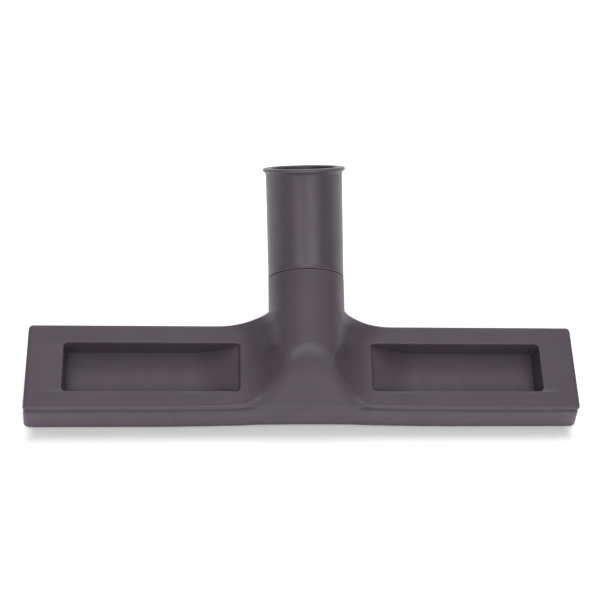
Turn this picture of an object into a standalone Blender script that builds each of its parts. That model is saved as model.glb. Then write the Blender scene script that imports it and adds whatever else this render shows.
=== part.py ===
"""Wet floor vacuum tool: a wide moulded head with two sunk trays, a hump that runs up into a
round neck, a bent wand sleeve that turns on the neck, and two rubber blades under the head.

Metres, +Z up, the floor at z = 0. +X runs along the head and +Y points from the front lip to the
back. The origin is the middle of the rear blade's foot.

The head's top is a slope, so most of its shape is worked out in slope coordinates (x, s, h):
s runs up the slope from the front lip and h stands square to it.
"""

import math

import bmesh
import bpy
from mathutils import Matrix, Vector

# Head, seen from above and from its end
HEAD_WIDTH = 0.3006
TOP_DEPTH = 0.0478
TOP_SLOPE = math.radians(16)
LIP_HEIGHT = 0.0177
WALL = 0.0023
CORNER_RADIUS = 0.0022
EDGE_RADIUS = 0.0016
SKIRT_FOOT = 0.0012
SKIRT_SPREAD = 0.0016
SKIRT_SPREAD_MIDDLE = 0.0005
END_FLARE = math.radians(3)
BACK_LEAN = math.radians(2)

# The lip overhangs the skirt along the arms, and fades out in front of the hump
LIP_OVERHANG = 0.0014
LIP_FACE = 0.0002
GROOVE_DEPTH = 0.0021
SKIRT_TOP_SETBACK = 0.00075
SKIRT_TOP_DROP = 0.0050
LIP_FADE_START = 0.021
LIP_FADE_END = 0.037
FRONT_BOW = 0.0013
BOW_HALF_WIDTH = 0.085

# Trays sunk square to the slope, one each side of the hump
TRAY_INNER = 0.0362
TRAY_END_MARGIN = 0.0192
TRAY_FRONT = 0.0098
TRAY_BACK_MARGIN = 0.0104
TRAY_DEPTH = 0.0140
TRAY_CORNER = 0.0022
TRAY_RIM = 0.0005
TRAY_DRAFT = math.radians(2.5)
TRAY_RAMP = 0.0260
TRAY_SHALLOW = 0.0012

# Neck, a round tube that leaves the hump a little steeper than the slope
TUBE_RADIUS = 0.02075
NECK_RISE = math.radians(7.7)
NECK_START = 0.0250
NECK_START_HEIGHT = 0.0070
NECK_LENGTH = 0.0452
NECK_TUBE_OVERLAP = 0.0110
NECK_SKIN = 0.00005
DUCT_RADIUS = 0.0175
SPIGOT_BORE_RADIUS = 0.0160
DUCT_OVERLAP = 0.0050
TUBE_SIDES = 64

# Hump: the neck's crown, flanks that sweep down to the arms, and a flat facet in front
CREST_FRONT = 0.0098
CREST_BACK = 0.0155
CREST_WIDENS_FROM = 0.0170
CREST_WIDENS_TO = 0.0310
FLANK_REACH = 0.0388
FLANK_REACH_BACK = 0.0490
FLANK_WIDENS_FROM = 0.0375
FLANK_POWER = 2.1
FLANK_POWER_BACK = 2.2
FLANK_BULGE = 0.0100
FLANK_BULGE_WIDTH = 0.0080
FACET_RISE = math.radians(54)
FACET_FRONT = 0.0008
FACET_BLEND = 0.0100
FACET_BLEND_LOW = 0.0062
BLEND_FULL_HEIGHT = 0.0250
HUMP_BACK_ROUND = 0.40
BACK_EDGE_RADIUS = 0.0015

# Spigot that the sleeve turns on, with a groove for the sleeve's snap bead
SPIGOT_RADIUS = 0.0180
SPIGOT_LENGTH = 0.0090
RUN_GAP = 0.0003
SEAM_CHAMFER = 0.0004
BEAD_HEIGHT = 0.0006
BEAD_WIDTH = 0.0010
BEAD_PLACE = 0.0043

# Wand sleeve: a short collar round the neck's axis, a mitred bend, and the socket
COLLAR_LENGTH = 0.0066
SLEEVE_BEND = math.radians(25.7)
SLEEVE_TURN = math.radians(-5.8)
SOCKET_LENGTH = 0.0556
SOCKET_MOUTH_RADIUS = 0.0181
SOCKET_ROOT_RADIUS = 0.0176
MITRE_ROUND = 0.0014
RIM_RADIUS = 0.0225
RIM_HEIGHT = 0.0026
RIM_CHAMFER = 0.0006

# Rubber blades and the ribs that grip them
BLADE_THICKNESS = 0.0024
TRAY_TO_RIB_GAP = 0.0012
BLADE_END_GAP = 0.0004
BLADE_SLOT_GAP = 0.0003
BLADE_TIP = 0.0012
RIB_THICKNESS = 0.0015
RIB_FOOT = 0.0026
FRONT_BLADE_SETBACK = 0.0036
REAR_BLADE_SETBACK = 0.0036
NOTCH_PITCH = 0.0125
NOTCH_WIDTH = 0.0040
NOTCH_DEPTH = 0.0008

TRAY_OUTER = HEAD_WIDTH / 2 - TRAY_END_MARGIN
TRAY_BACK = TOP_DEPTH - TRAY_BACK_MARGIN
BACK_Y_FROM_LIP = TOP_DEPTH * math.cos(TOP_SLOPE)
BACK_FOOT_FROM_LIP = BACK_Y_FROM_LIP + math.tan(BACK_LEAN) * (
    LIP_HEIGHT + TOP_DEPTH * math.sin(TOP_SLOPE) - SKIRT_FOOT
)
REAR_BLADE_FROM_LIP = BACK_FOOT_FROM_LIP - REAR_BLADE_SETBACK - BLADE_THICKNESS / 2
FRONT_BLADE_FROM_LIP = LIP_OVERHANG + FRONT_BLADE_SETBACK + BLADE_THICKNESS / 2
LIP_Y = -REAR_BLADE_FROM_LIP

# The ribs stop just under the trays, and the blades fill the slots between them
TRAY_UNDERSIDE = (
    LIP_HEIGHT
    + (TRAY_BACK + WALL) * math.sin(TOP_SLOPE)
    - (TRAY_DEPTH + WALL) * math.cos(TOP_SLOPE)
)
BLADE_HEIGHT = TRAY_UNDERSIDE - TRAY_TO_RIB_GAP - RIB_THICKNESS - BLADE_SLOT_GAP
MOULDED_GREY = (0.075, 0.057, 0.075, 1)
SLEEVE_GREY = (0.076, 0.058, 0.076, 1)
RUBBER_BLACK = (0.018, 0.018, 0.019, 1)


def clear_scene():
    for obj in list(bpy.data.objects):
        bpy.data.objects.remove(obj, do_unlink=True)


def plain_material(name, colour, roughness):
    material = bpy.data.materials.new(name)
    material.use_nodes = True
    shader = material.node_tree.nodes["Principled BSDF"]
    shader.inputs["Base Color"].default_value = colour
    shader.inputs["Roughness"].default_value = roughness
    shader.inputs["Metallic"].default_value = 0.0
    return material


def smooth_step(value, low, high):
    t = min(1.0, max(0.0, (value - low) / (high - low)))
    return t * t * (3 - 2 * t)


def smooth_min(a, b, blend):
    if blend <= 0:
        return min(a, b)
    near = max(blend - abs(a - b), 0.0) / blend
    return min(a, b) - near * near * blend / 4


def from_slope(x, s, h):
    """World place of a point in slope coordinates."""
    y = LIP_Y + s * math.cos(TOP_SLOPE) - h * math.sin(TOP_SLOPE)
    z = LIP_HEIGHT + s * math.sin(TOP_SLOPE) + h * math.cos(TOP_SLOPE)
    return Vector((x, y, z))


def solid(name, points, faces, material=None):
    """One mesh object with its faces turned outwards."""
    mesh = bpy.data.meshes.new(name)
    mesh.from_pydata([tuple(p) for p in points], [], faces)
    work = bmesh.new()
    work.from_mesh(mesh)
    bmesh.ops.recalc_face_normals(work, faces=work.faces)
    work.to_mesh(mesh)
    work.free()
    if material:
        mesh.materials.append(material)
    obj = bpy.data.objects.new(name, mesh)
    bpy.context.scene.collection.objects.link(obj)
    return obj


def loft(name, rings, material=None):
    """Closed solid through rings of equal length, with a flat cap at each end."""
    count = len(rings[0])
    points = [p for ring in rings for p in ring]
    faces = []
    for k in range(len(rings) - 1):
        for i in range(count):
            j = (i + 1) % count
            faces.append((k * count + i, k * count + j, (k + 1) * count + j, (k + 1) * count + i))
    faces.append(tuple(reversed(range(count))))
    last = (len(rings) - 1) * count
    faces.append(tuple(range(last, last + count)))
    return solid(name, points, faces, material)


def turned(name, profile, origin, axis, up, material=None, twist=0.0):
    """Solid of revolution: profile is (distance along the axis, radius). The twist is in sides."""
    axis = axis.normalized()
    side = axis.cross(up).normalized()
    up = side.cross(axis).normalized()
    rings = []
    for along, radius in profile:
        ring = []
        for k in range(TUBE_SIDES):
            turn = 2 * math.pi * (k + twist) / TUBE_SIDES
            offset = up * math.cos(turn) + side * math.sin(turn)
            ring.append(origin + axis * along + offset * radius)
        rings.append(ring)
    return loft(name, rings, material)


def cutter(obj):
    obj.hide_render = True
    obj.display_type = "WIRE"
    return obj


def combine(target, other, operation):
    modifier = target.modifiers.new(other.name, "BOOLEAN")
    modifier.operation = operation
    modifier.solver = "EXACT"
    modifier.object = cutter(other)


def shade(obj, degrees):
    obj.data.shade_smooth()
    obj.data.set_sharp_from_angle(angle=math.radians(degrees))


# Shape of the head's top


def neck_axis_height(s):
    return NECK_START_HEIGHT + (s - NECK_START) * math.tan(NECK_RISE)


def crown_height(x, s):
    """Top of the hump without the facet: the neck's round crown, then the flank."""
    axis = neck_axis_height(s)
    radius = TUBE_RADIUS + NECK_SKIN
    side = abs(x)
    backward = smooth_step(s, CREST_WIDENS_FROM, CREST_WIDENS_TO)
    crest = CREST_FRONT + (CREST_BACK - CREST_FRONT) * backward
    if side <= crest:
        return axis + math.sqrt(radius**2 - side**2) / math.cos(NECK_RISE)
    shoulder = axis + math.sqrt(radius**2 - crest**2) / math.cos(NECK_RISE)
    widening = smooth_step(s, FLANK_WIDENS_FROM, TOP_DEPTH)
    reach = FLANK_REACH + (FLANK_REACH_BACK - FLANK_REACH) * widening
    power = FLANK_POWER + (FLANK_POWER_BACK - FLANK_POWER) * backward
    left = max(0.0, (reach - side) / (reach - crest))
    out = min(1.0, (side - crest) / FLANK_BULGE_WIDTH)
    return shoulder * left**power + FLANK_BULGE * backward * out * (1 - out) ** 2


def top_height(x, s):
    """Height of the head's top over its slope."""
    crown = crown_height(x, s)
    facet = max(0.0, (s - FACET_FRONT) * math.tan(FACET_RISE))
    rounding = FACET_BLEND_LOW + (FACET_BLEND - FACET_BLEND_LOW) * min(1.0, crown / BLEND_FULL_HEIGHT)
    return max(0.0, smooth_min(crown, facet, min(rounding, 1.6 * crown)))


def bow(x):
    """How far the front edge is set back, most in the middle."""
    if abs(x) >= BOW_HALF_WIDTH:
        return 0.0
    return FRONT_BOW * math.cos(math.pi * x / (2 * BOW_HALF_WIDTH)) ** 2


def front_profile(x):
    """Skirt, groove, lip and rounded edge, from the foot up, and where the top starts."""
    share = smooth_step(abs(x), LIP_FADE_START, LIP_FADE_END)
    back = bow(x)
    edge = from_slope(x, back, top_height(x, back))
    near = EDGE_RADIUS / 4
    rise = math.atan((top_height(x, back + near) - top_height(x, back)) / near)
    bend = math.pi / 2 - TOP_SLOPE - rise
    radius = EDGE_RADIUS * share + SEAM_CHAMFER * (1 - share)
    tangent = radius * math.tan(bend / 2)
    face_top = edge.z - tangent
    face_foot = face_top - LIP_FACE
    skirt_top = (LIP_HEIGHT - SKIRT_TOP_DROP) * share + (face_foot - LIP_FACE) * (1 - share)
    skirt_y = edge.y + SKIRT_TOP_SETBACK * share
    deep_y = edge.y + GROOVE_DEPTH * share
    gap = face_foot - skirt_top
    spread = SKIRT_SPREAD * share + SKIRT_SPREAD_MIDDLE * (1 - share)
    points = [
        (skirt_y - spread, SKIRT_FOOT),
        (skirt_y - spread / 2, (SKIRT_FOOT + skirt_top) / 2),
        (skirt_y, skirt_top - SEAM_CHAMFER),
        (skirt_y + (deep_y - skirt_y) * 0.45, skirt_top + gap * 0.06),
        (deep_y, skirt_top + gap * 0.30),
        (deep_y, skirt_top + gap * 0.72),
        (edge.y + (deep_y - edge.y) * 0.55, skirt_top + gap * 0.95),
        (edge.y, face_foot + LIP_FACE * 0.2),
    ]
    for k in range(4):
        turn = bend * k / 3
        points.append((edge.y + radius - radius * math.cos(turn), face_top + radius * math.sin(turn)))
    return points, back + tangent * math.cos(rise)


def head_columns():
    """Places along the head where a section is drawn, from the middle outwards."""
    step = 2 * math.pi / TUBE_SIDES
    crown = []
    k = 0
    while TUBE_RADIUS * math.sin(k * step) < CREST_BACK - 0.0002:
        crown.append(TUBE_RADIUS * math.sin(k * step))
        k += 1
    flank = [CREST_BACK + (FLANK_REACH - CREST_BACK) * k / 10 for k in range(11)]
    outer = [FLANK_REACH_BACK, (FLANK_REACH_BACK + BOW_HALF_WIDTH) / 2, BOW_HALF_WIDTH]
    end = HEAD_WIDTH / 2 - CORNER_RADIUS
    return crown + flank + [(FLANK_REACH + FLANK_REACH_BACK) / 2] + outer + [end]


def top_rows(start, end):
    """Places up the slope, closer together where the facet meets the crown."""
    rows = 20
    return [start + (end - start) * (k / rows) ** 1.15 for k in range(1, rows)]


def back_end(x, height):
    """Where the slope coordinate s meets the leaning back wall, over the top at x."""
    s = TOP_DEPTH
    for _ in range(6):
        s = TOP_DEPTH + height(x, s) * math.tan(TOP_SLOPE - BACK_LEAN)
    return s


def head_ring(x):
    """One closed section of the head's outside, from the front foot over the top to the back foot."""
    front, start = front_profile(x)
    ring = [Vector((x, y, z)) for y, z in front]
    end = back_end(x, top_height)
    height = top_height(x, end)
    radius = BACK_EDGE_RADIUS + HUMP_BACK_ROUND * height
    last = end - radius
    for s in top_rows(start, last):
        ring.append(from_slope(x, s, top_height(x, s)))
    corner = from_slope(x, end, height)
    before = from_slope(x, last, top_height(x, last))
    down = Vector((0, math.sin(BACK_LEAN), -math.cos(BACK_LEAN)))
    after = corner + down * radius
    for k in range(6):
        t = k / 5
        ring.append(before * (1 - t) ** 2 + corner * 2 * t * (1 - t) + after * t * t)
    foot = corner + down * ((corner.z - SKIRT_FOOT) / math.cos(BACK_LEAN))
    ring.append((after + foot) / 2)
    ring.append(foot)
    return ring


def end_rings(ring, sign):
    """Rounds the head's end: the last section shrinks along an arc, and the end wall leans out."""
    middle_y = (ring[0].y + ring[-1].y) / 2
    half = (ring[-1].y - ring[0].y) / 2
    back_top = LIP_HEIGHT + TOP_DEPTH * math.sin(TOP_SLOPE)
    rings = []
    for k in range(1, 6):
        turn = math.pi / 2 * k / 5
        out = CORNER_RADIUS * math.sin(turn)
        inset = CORNER_RADIUS * (1 - math.cos(turn))
        drop = EDGE_RADIUS * (1 - math.cos(turn))
        shrunk = []
        for p in ring:
            y = middle_y + (p.y - middle_y) * (1 - inset / half)
            top = smooth_step(p.z, SKIRT_FOOT, LIP_HEIGHT)
            flare = (back_top - p.z) * math.tan(END_FLARE) * k / 5
            shrunk.append(Vector((sign * (abs(p.x) + out + flare), y, p.z - drop * top)))
        rings.append(shrunk)
    return rings


def head_body(material):
    columns = head_columns()
    right = [head_ring(x) for x in columns]
    left = [[Vector((-p.x, p.y, p.z)) for p in ring] for ring in right[1:]]
    right += end_rings(right[-1], 1)
    left += end_rings(left[-1], -1)
    return loft("floor_head", list(reversed(left)) + right, material)


# Inside of the head


def ceiling_height(x, s):
    """A wall's thickness below the top, measured square to the surface."""
    reach = WALL / 2
    across = (top_height(x + reach, s) - top_height(x - reach, s)) / WALL
    along = (top_height(x, s + reach) - top_height(x, s - reach)) / WALL
    return top_height(x, s) - WALL * math.sqrt(1 + across**2 + along**2)


def chamber():
    """Space inside the head, open below."""
    inner_end = HEAD_WIDTH / 2 - WALL
    columns = [x for x in head_columns()[::2] if x < inner_end - WALL] + [inner_end]
    rings = []
    for x in [-x for x in reversed(columns[1:])] + columns:
        front_y = LIP_Y + LIP_OVERHANG + WALL
        start = (front_y - LIP_Y) / math.cos(TOP_SLOPE)
        end = back_end(x, ceiling_height) - WALL / math.cos(BACK_LEAN)
        ring = [Vector((x, front_y, -SKIRT_FOOT))]
        rows = 12
        for k in range(rows + 1):
            s = start + (end - start) * k / rows
            ring.append(from_slope(x, s, ceiling_height(x, s)))
        top = ring[-1]
        drop = top.z + SKIRT_FOOT
        ring.append(Vector((x, top.y + drop * math.tan(BACK_LEAN), -SKIRT_FOOT)))
        rings.append(ring)
    return loft("chamber_cutter", rings)


def tray_outline(grow, ramp_columns):
    """Rounded rectangle of a tray: matching front and back places for each x, from inner to outer."""
    radius = max(TRAY_CORNER + grow, 0.0002)
    inner = TRAY_INNER - grow
    outer = TRAY_OUTER + grow
    front = TRAY_FRONT - grow
    back = TRAY_BACK + grow
    arc = [math.pi / 2 * k / 5 for k in range(6)]
    places = [(inner + radius * (1 - math.sin(t)), radius * (1 - math.cos(t))) for t in reversed(arc)]
    places += [(inner + radius + (outer - inner - 2 * radius) * share, 0.0) for share in ramp_columns]
    places += [(outer - radius * (1 - math.sin(t)), radius * (1 - math.cos(t))) for t in arc]
    return [(x, front + inset, back - inset) for x, inset in places]


def tray_depth(x):
    """Depth of a tray's floor, which ramps up towards the hump."""
    share = min(1.0, max(0.0, (x - TRAY_INNER) / TRAY_RAMP))
    return TRAY_SHALLOW + (TRAY_DEPTH - TRAY_SHALLOW) * (1 - (1 - share) ** 1.5)


def tray(name, sign, grow, depth_extra, levels):
    """Solid of one tray, or of its shell when it is grown by the wall."""
    ramp = [0.04, 0.08, 0.13, 0.18, 0.24, 0.30, 0.65]
    outlines = [tray_outline(grow + extra, ramp) for extra, _ in levels]
    floor = tray_outline(grow - math.tan(TRAY_DRAFT) * TRAY_DEPTH, ramp)
    count = len(floor)
    points = []
    for (_, h), outline in zip(levels, outlines):
        points += [from_slope(sign * x, front, h) for x, front, _ in outline]
        points += [from_slope(sign * x, back, h) for x, _, back in reversed(outline)]
    points += [from_slope(sign * x, front, -tray_depth(x) - depth_extra) for x, front, _ in floor]
    points += [from_slope(sign * x, back, -tray_depth(x) - depth_extra) for x, _, back in reversed(floor)]
    loop = 2 * count
    faces = []
    for level in range(len(levels)):
        for i in range(loop):
            j = (i + 1) % loop
            a = level * loop
            faces.append((a + i, a + j, a + loop + j, a + loop + i))
    base = len(levels) * loop
    for start, flip in ((0, False), (base, True)):
        for i in range(count - 1):
            quad = (start + i, start + i + 1, start + loop - 2 - i, start + loop - 1 - i)
            faces.append(quad if flip else tuple(reversed(quad)))
    return solid(name, points, faces)


def box(name, low, high):
    points = []
    for z in (low[2], high[2]):
        for x, y in ((low[0], low[1]), (high[0], low[1]), (high[0], high[1]), (low[0], high[1])):
            points.append(Vector((x, y, z)))
    faces = [(0, 1, 2, 3), (4, 5, 6, 7), (0, 1, 5, 4), (1, 2, 6, 5), (2, 3, 7, 6), (3, 0, 4, 7)]
    return solid(name, points, faces)


def blade_half_length():
    return HEAD_WIDTH / 2 - WALL - RIB_THICKNESS - BLADE_END_GAP


def blade_holder(name, centre_y):
    """Block of rib either side of a blade, which stays standing in the chamber."""
    half = BLADE_THICKNESS / 2 + BLADE_SLOT_GAP + RIB_THICKNESS
    reach = HEAD_WIDTH / 2 + CORNER_RADIUS
    top = BLADE_HEIGHT + BLADE_SLOT_GAP + RIB_THICKNESS
    return box(name, (-reach, centre_y - half, RIB_FOOT), (reach, centre_y + half, top))


def blade_slot(name, centre_y):
    half = BLADE_THICKNESS / 2 + BLADE_SLOT_GAP
    reach = blade_half_length() + BLADE_END_GAP
    top = BLADE_HEIGHT + BLADE_SLOT_GAP
    return box(name, (-reach, centre_y - half, -SKIRT_FOOT), (reach, centre_y + half, top))


# Neck, spigot and sleeve


def neck_frame():
    """Start, direction and upward side of the neck's axis in the world."""
    start = from_slope(0, NECK_START, NECK_START_HEIGHT)
    rise = TOP_SLOPE + NECK_RISE
    axis = Vector((0, math.cos(rise), math.sin(rise)))
    up = Vector((0, -math.sin(rise), math.cos(rise)))
    return start, axis, up


def neck_outside(material):
    start, axis, up = neck_frame()
    seam = NECK_LENGTH
    groove = SPIGOT_RADIUS - BEAD_HEIGHT
    low = seam + BEAD_PLACE - BEAD_WIDTH / 2 - RUN_GAP
    high = seam + BEAD_PLACE + BEAD_WIDTH / 2 + RUN_GAP
    slope = BEAD_HEIGHT
    profile = [
        (NECK_TUBE_OVERLAP, TUBE_RADIUS),
        (seam - SEAM_CHAMFER, TUBE_RADIUS),
        (seam - SEAM_CHAMFER * 0.3, TUBE_RADIUS - SEAM_CHAMFER * 0.3),
        (seam, TUBE_RADIUS - SEAM_CHAMFER),
        (seam, SPIGOT_RADIUS),
        (low - slope, SPIGOT_RADIUS),
        (low, groove),
        (high, groove),
        (high + slope, SPIGOT_RADIUS),
        (seam + SPIGOT_LENGTH - SEAM_CHAMFER, SPIGOT_RADIUS),
        (seam + SPIGOT_LENGTH, SPIGOT_RADIUS - SEAM_CHAMFER),
    ]
    return turned("neck_outside", profile, start, axis, up, material, 0.5)


def duct():
    start, axis, up = neck_frame()
    end = NECK_LENGTH + SPIGOT_LENGTH + DUCT_OVERLAP
    narrow = NECK_LENGTH - 2 * WALL
    profile = [
        (DUCT_OVERLAP, DUCT_RADIUS),
        (narrow, DUCT_RADIUS),
        (narrow + DUCT_RADIUS - SPIGOT_BORE_RADIUS, SPIGOT_BORE_RADIUS),
        (end, SPIGOT_BORE_RADIUS),
    ]
    return turned("duct_cutter", profile, start, axis, up)


def build_head(material):
    head = head_body(material)
    combine(head, neck_outside(material), "UNION")
    inside = chamber()
    for side, sign in (("right", 1), ("left", -1)):
        shell = tray("tray_shell_" + side, sign, WALL, WALL, [(0.0, 2 * TRAY_DEPTH)])
        combine(inside, shell, "DIFFERENCE")
    front_y = LIP_Y + FRONT_BLADE_FROM_LIP
    combine(inside, blade_holder("front_ribs", front_y), "DIFFERENCE")
    combine(inside, blade_holder("rear_ribs", 0.0), "DIFFERENCE")
    combine(head, inside, "DIFFERENCE")
    combine(head, duct(), "DIFFERENCE")
    rim = TRAY_RIM
    levels = [(2.4 * rim, 0.8 * rim), (0.55 * rim, -0.15 * rim), (0.15 * rim, -0.55 * rim), (0.0, -rim)]
    for side, sign in (("right", 1), ("left", -1)):
        combine(head, tray("tray_cutter_" + side, sign, 0.0, 0.0, levels), "DIFFERENCE")
    combine(head, blade_slot("front_slot", front_y), "DIFFERENCE")
    combine(head, blade_slot("rear_slot", 0.0), "DIFFERENCE")
    shade(head, 30)
    return head


def sleeve_outside(material, seam, axis, inner):
    """Collar, mitred bend and socket, as rings round the bent axis, seen from the seam."""
    bend = seam + axis * COLLAR_LENGTH
    socket = axis * math.cos(SLEEVE_BEND) + inner * math.sin(SLEEVE_BEND)
    side = axis.cross(inner).normalized()
    inner_after = side.cross(socket).normalized()
    half = math.tan(SLEEVE_BEND / 2)
    turns = [2 * math.pi * k / TUBE_SIDES for k in range(TUBE_SIDES)]

    def collar_point(turn, along, radius):
        return bend + axis * along + (inner * math.cos(turn) + side * math.sin(turn)) * radius

    def socket_point(turn, along, radius):
        return bend + socket * along + (inner_after * math.cos(turn) + side * math.sin(turn)) * radius

    rings = []
    for back, radius in ((0.0, TUBE_RADIUS - SEAM_CHAMFER / 2), (SEAM_CHAMFER / 2, TUBE_RADIUS)):
        rings.append([collar_point(t, back + RUN_GAP - COLLAR_LENGTH, radius) for t in turns])
    for share in (0.0, 0.25, 0.5, 0.75, 1.0):
        ring = []
        for t in turns:
            mitre = -TUBE_RADIUS * math.cos(t) * half
            before = collar_point(t, mitre - MITRE_ROUND, TUBE_RADIUS)
            corner = collar_point(t, mitre, TUBE_RADIUS)
            after = socket_point(t, -mitre + MITRE_ROUND, TUBE_RADIUS)
            ring.append(before * (1 - share) ** 2 + corner * 2 * share * (1 - share) + after * share**2)
        rings.append(ring)
    top = SOCKET_LENGTH
    swell = RIM_RADIUS - TUBE_RADIUS
    rim = [
        (top - RIM_HEIGHT - swell * 0.8, TUBE_RADIUS),
        (top - RIM_HEIGHT - swell * 0.15, TUBE_RADIUS + swell * 0.12),
        (top - RIM_HEIGHT * 0.86, TUBE_RADIUS + swell * 0.45),
        (top - RIM_HEIGHT * 0.62, TUBE_RADIUS + swell * 0.92),
        (top - RIM_HEIGHT * 0.42, RIM_RADIUS),
        (top - RIM_HEIGHT * 0.18, TUBE_RADIUS + swell * 0.90),
        (top, TUBE_RADIUS + swell * 0.50),
    ]
    for along, radius in rim:
        rings.append([socket_point(t, along, radius) for t in turns])
    return loft("wand_sleeve", rings, material), bend, socket, inner_after


def build_sleeve(material):
    start, axis, up = neck_frame()
    seam = start + axis * NECK_LENGTH
    inner = Matrix.Rotation(SLEEVE_TURN, 3, axis) @ up
    sleeve, bend, socket, inner_after = sleeve_outside(material, seam, axis, inner)
    bore = SPIGOT_RADIUS + RUN_GAP
    bead = bore - BEAD_HEIGHT
    low = BEAD_PLACE - BEAD_WIDTH / 2
    high = BEAD_PLACE + BEAD_WIDTH / 2
    collar_depth = COLLAR_LENGTH + TUBE_RADIUS * math.tan(SLEEVE_BEND / 2) - RUN_GAP
    profile = [
        (-RUN_GAP, bore + SEAM_CHAMFER),
        (RUN_GAP + SEAM_CHAMFER, bore),
        (low - BEAD_HEIGHT, bore),
        (low, bead),
        (high, bead),
        (high + BEAD_HEIGHT, bore),
        (collar_depth, bore),
    ]
    combine(sleeve, turned("collar_cutter", profile, seam, axis, inner), "DIFFERENCE")
    profile = [
        (-TUBE_RADIUS * math.tan(SLEEVE_BEND / 2), SOCKET_ROOT_RADIUS),
        (0.0, SOCKET_ROOT_RADIUS),
        (SOCKET_LENGTH - RIM_CHAMFER, SOCKET_MOUTH_RADIUS),
        (SOCKET_LENGTH + RIM_CHAMFER, SOCKET_MOUTH_RADIUS + 2 * RIM_CHAMFER),
    ]
    combine(sleeve, turned("socket_cutter", profile, bend, socket, inner_after), "DIFFERENCE")
    shade(sleeve, 30)
    return sleeve, seam, axis


def build_blade(name, centre_y, notched, material):
    """Rubber strip, thinned towards the floor on its outer face; the front one lets water in."""
    half = blade_half_length()
    back = BLADE_THICKNESS / 2
    outwards = -1 if notched else 1
    profile = [
        (outwards * back, BLADE_TIP + BLADE_THICKNESS / 2),
        (outwards * back * 0.3, 0.0),
        (-outwards * back, 0.0),
        (-outwards * back, BLADE_HEIGHT),
        (outwards * back, BLADE_HEIGHT),
    ]
    places = [-half, half]
    if notched:
        count = int((2 * half - NOTCH_WIDTH) / NOTCH_PITCH)
        centres = [(k - (count - 1) / 2) * NOTCH_PITCH for k in range(count)]
        for c in centres:
            places += [c - NOTCH_WIDTH / 2, c - NOTCH_WIDTH / 4, c + NOTCH_WIDTH / 4, c + NOTCH_WIDTH / 2]
        places.sort()
    rings = []
    for index, x in enumerate(places):
        raised = notched and index % 4 in (2, 3) and 0 < index < len(places) - 1
        lift = NOTCH_DEPTH if raised else 0.0
        rings.append([Vector((x, centre_y + y, z + (lift if z == 0.0 else 0.0))) for y, z in profile])
    blade = loft(name, rings, material)
    shade(blade, 30)
    return blade


def main():
    clear_scene()
    grey = plain_material("moulded_grey", MOULDED_GREY, 0.5)
    sleeve_grey = plain_material("sleeve_grey", SLEEVE_GREY, 0.4)
    front_rubber = plain_material("front_rubber", RUBBER_BLACK, 0.7)
    rear_rubber = plain_material("rear_rubber", RUBBER_BLACK, 0.7)
    build_head(grey)
    sleeve, seam, axis = build_sleeve(sleeve_grey)
    swivel = bpy.data.objects.new("sleeve_swivel", None)
    bpy.context.scene.collection.objects.link(swivel)
    swivel.location = seam
    swivel.rotation_euler = axis.to_track_quat("Z", "Y").to_euler()
    bpy.context.view_layer.update()
    sleeve.parent = swivel
    sleeve.matrix_parent_inverse = swivel.matrix_world.inverted()
    build_blade("front_blade", LIP_Y + FRONT_BLADE_FROM_LIP, True, front_rubber)
    build_blade("rear_blade", 0.0, False, rear_rubber)


main()
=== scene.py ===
"""Dressed model of the wet floor vacuum tool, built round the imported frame.

The visible pieces repeat the part's own construction with finer grids, smooth shading and
procedural materials. Metres, +X along the head, +Y from the front lip to the back, +Z up.
"""

import math

import bmesh
import bpy
from mathutils import Matrix, Vector


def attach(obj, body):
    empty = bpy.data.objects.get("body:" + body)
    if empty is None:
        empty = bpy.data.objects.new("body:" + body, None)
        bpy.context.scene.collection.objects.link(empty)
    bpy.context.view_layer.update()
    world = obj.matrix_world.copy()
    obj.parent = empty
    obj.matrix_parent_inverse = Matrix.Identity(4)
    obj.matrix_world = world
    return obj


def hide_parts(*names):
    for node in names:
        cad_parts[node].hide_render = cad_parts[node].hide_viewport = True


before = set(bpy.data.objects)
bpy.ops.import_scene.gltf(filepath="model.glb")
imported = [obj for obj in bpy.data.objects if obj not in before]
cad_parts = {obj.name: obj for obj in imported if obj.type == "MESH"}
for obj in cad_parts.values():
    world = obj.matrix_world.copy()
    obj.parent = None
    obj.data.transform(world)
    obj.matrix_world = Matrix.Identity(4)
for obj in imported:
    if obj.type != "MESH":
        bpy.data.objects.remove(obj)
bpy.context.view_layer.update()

# Head
HEAD_WIDTH = 0.3006
TOP_DEPTH = 0.0478
TOP_SLOPE = math.radians(16)
LIP_HEIGHT = 0.0177
WALL = 0.0023
CORNER_RADIUS = 0.0022
EDGE_RADIUS = 0.0016
SKIRT_FOOT = 0.0012
SKIRT_SPREAD = 0.0016
SKIRT_SPREAD_MIDDLE = 0.0005
END_FLARE = math.radians(3)
BACK_LEAN = math.radians(2)
LIP_OVERHANG = 0.0014
LIP_FACE = 0.0002
GROOVE_DEPTH = 0.0021
SKIRT_TOP_SETBACK = 0.00075
SKIRT_TOP_DROP = 0.0050
LIP_FADE_START = 0.021
LIP_FADE_END = 0.037
FRONT_BOW = 0.0013
BOW_HALF_WIDTH = 0.085

# Trays
TRAY_INNER = 0.0362
TRAY_END_MARGIN = 0.0192
TRAY_FRONT = 0.0098
TRAY_BACK_MARGIN = 0.0104
TRAY_DEPTH = 0.0140
TRAY_CORNER = 0.0022
TRAY_RIM = 0.0005
TRAY_DRAFT = math.radians(2.5)
TRAY_RAMP = 0.0260
TRAY_SHALLOW = 0.0012

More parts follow.
